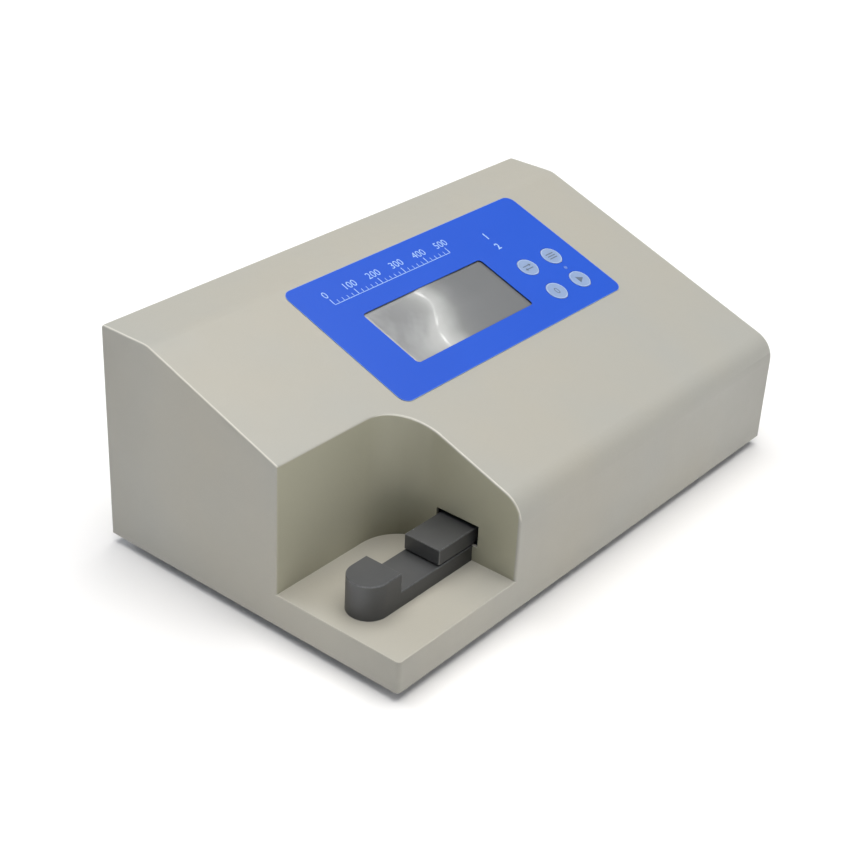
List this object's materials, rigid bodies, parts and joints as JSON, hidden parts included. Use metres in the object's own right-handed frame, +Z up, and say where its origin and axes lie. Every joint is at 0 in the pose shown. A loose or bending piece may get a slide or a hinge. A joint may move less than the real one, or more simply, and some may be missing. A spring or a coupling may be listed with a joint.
{
  "type": "tablet hardness tester",
  "caption": "Bench tester with a wedge housing, sloped blue membrane panel, and an open corner bay where a screw-driven plunger presses a tablet against a fixed anvil bar.",
  "frame": {"origin": "middle of the footprint, on the surface that the feet stand on", "axes": "+X along the long side, away from the test bay; -Y towards the operator; +Z up"},
  "size_m": [0.35, 0.2112, 0.1337],
  "materials": {
    "housing_paint": "fine textured powder coat, warm grey",
    "zinc_plate": "zinc plated sheet",
    "rubber_black": "moulded",
    "screw_zinc": "zinc plated",
    "screw_black": "black oxide",
    "anodised_dark": "matt anodised, dark grey",
    "aluminium_milled": "milled",
    "steel_ground": "ground",
    "brass_nut": "turned",
    "motor_metal": "laminated and painted",
    "switch_black": "moulded",
    "inlet_black": "moulded, fine spark texture",
    "membrane_blue": "printed polyester, satin",
    "membrane_back": "dark adhesive and circuit layer",
    "key_print": "pale printed polyester",
    "led_lens": "diffused lens",
    "window_film": "clear pane with thin film",
    "lcd_panel": "grey display, switched off",
    "bezel_black": "black pressed sheet",
    "board_green": "solder mask",
    "spacer_brass": "nickel plated brass",
    "ribbon_grey": "flat cable",
    "supply_case": "folded sheet",
    "fuse_glass": "glass tube with nickel caps",
    "port_shell": "nickel plated"
  },
  "bodies": {
    "housing": {"cover_shell": "housing_paint", "bay_liner": "housing_paint", "fixing_blocks": "zinc_plate", "base_plate": "zinc_plate", "rubber_feet": "rubber_black", "foot_screws": "screw_zinc", "base_screws": "screw_zinc", "psu_screws": "screw_zinc", "anvil_bar": "anodised_dark", "anvil_screws": "screw_black", "drive_frame": "aluminium_milled", "guide_rail": "steel_ground", "rail_screws": "screw_black", "bearing_block": "aluminium_milled", "screw_bearing": "steel_ground", "block_screws": "screw_black", "motor_bracket": "aluminium_milled", "stepper_motor": "motor_metal", "motor_screws": "screw_black", "limit_bracket": "zinc_plate", "limit_switches": "switch_black", "membrane_circuit": "membrane_back", "membrane_overlay": "membrane_blue", "status_led": "led_lens", "display_window": "window_film", "lcd_bezel": "bezel_black", "lcd_glass": "lcd_panel", "lcd_board": "board_green", "lcd_standoffs": "spacer_brass", "main_board": "board_green", "board_components": "switch_black", "board_standoffs": "spacer_brass", "board_screws": "screw_zinc", "ribbon_cable": "ribbon_grey", "keypad_tail": "membrane_back", "power_supply": "supply_case", "power_inlet": "inlet_black", "inlet_pins": "spacer_brass", "inlet_screws": "screw_zinc", "switch_housing": "switch_black", "serial_port": "port_shell", "serial_posts": "screw_zinc"},
    "lead_screw": {"lead_screw": "steel_ground", "thrust_collars": "steel_ground", "shaft_coupling": "aluminium_milled", "motor_shaft": "steel_ground"},
    "plunger": {"plunger": "anodised_dark", "plunger_carriage": "aluminium_milled", "load_cell": "steel_ground", "cell_fasteners": "screw_black", "carriage_screws": "screw_black", "rail_block": "steel_ground", "lead_nut": "brass_nut"},
    "key_upper_left": {"key_upper_left": "key_print"},
    "key_upper_right": {"key_upper_right": "key_print"},
    "key_lower_left": {"key_lower_left": "key_print"},
    "key_lower_right": {"key_lower_right": "key_print"},
    "power_rocker": {"power_rocker": "switch_black"},
    "fuse_drawer": {"fuse_drawer": "switch_black", "fuse_cartridge": "fuse_glass"}
  },
  "joints": [
    {"name": "screw_turn", "type": "hinge", "parent": "housing", "child": "lead_screw", "pos_m": [0.05, -0.0647, 0.04], "axis": [1, 0, 0], "range_deg": [-1998, 5148]},
    {"name": "plunger_feed", "type": "slide", "parent": "housing", "child": "plunger", "axis": [-1, 0, 0], "range_m": [-0.011, 0.0285]},
    {"name": "press_upper_left", "type": "slide", "parent": "housing", "child": "key_upper_left", "axis": [0, 0.3412, -0.94], "range_m": [0, 0.0003], "stiffness_N_per_m": 600, "springref_m": -0.0003},
    {"name": "press_upper_right", "type": "slide", "parent": "housing", "child": "key_upper_right", "axis": [0, 0.3412, -0.94], "range_m": [0, 0.0003], "stiffness_N_per_m": 600, "springref_m": -0.0003},
    {"name": "press_lower_left", "type": "slide", "parent": "housing", "child": "key_lower_left", "axis": [0, 0.3412, -0.94], "range_m": [0, 0.0003], "stiffness_N_per_m": 600, "springref_m": -0.0003},
    {"name": "press_lower_right", "type": "slide", "parent": "housing", "child": "key_lower_right", "axis": [0, 0.3412, -0.94], "range_m": [0, 0.0003], "stiffness_N_per_m": 600, "springref_m": -0.0003},
    {"name": "rocker_tip", "type": "hinge", "parent": "housing", "child": "power_rocker", "pos_m": [0.095, 0.0986, 0.042], "axis": [1, 0, 0], "range_deg": [0, 14]},
    {"name": "fuse_drawer_slide", "type": "slide", "parent": "housing", "child": "fuse_drawer", "axis": [0, 1, 0], "range_m": [0, 0.018]}
  ],
  "couplings": [
    {"joint": "screw_turn", "follows": "plunger_feed", "rad_per_m": 3141.6}
  ]
}
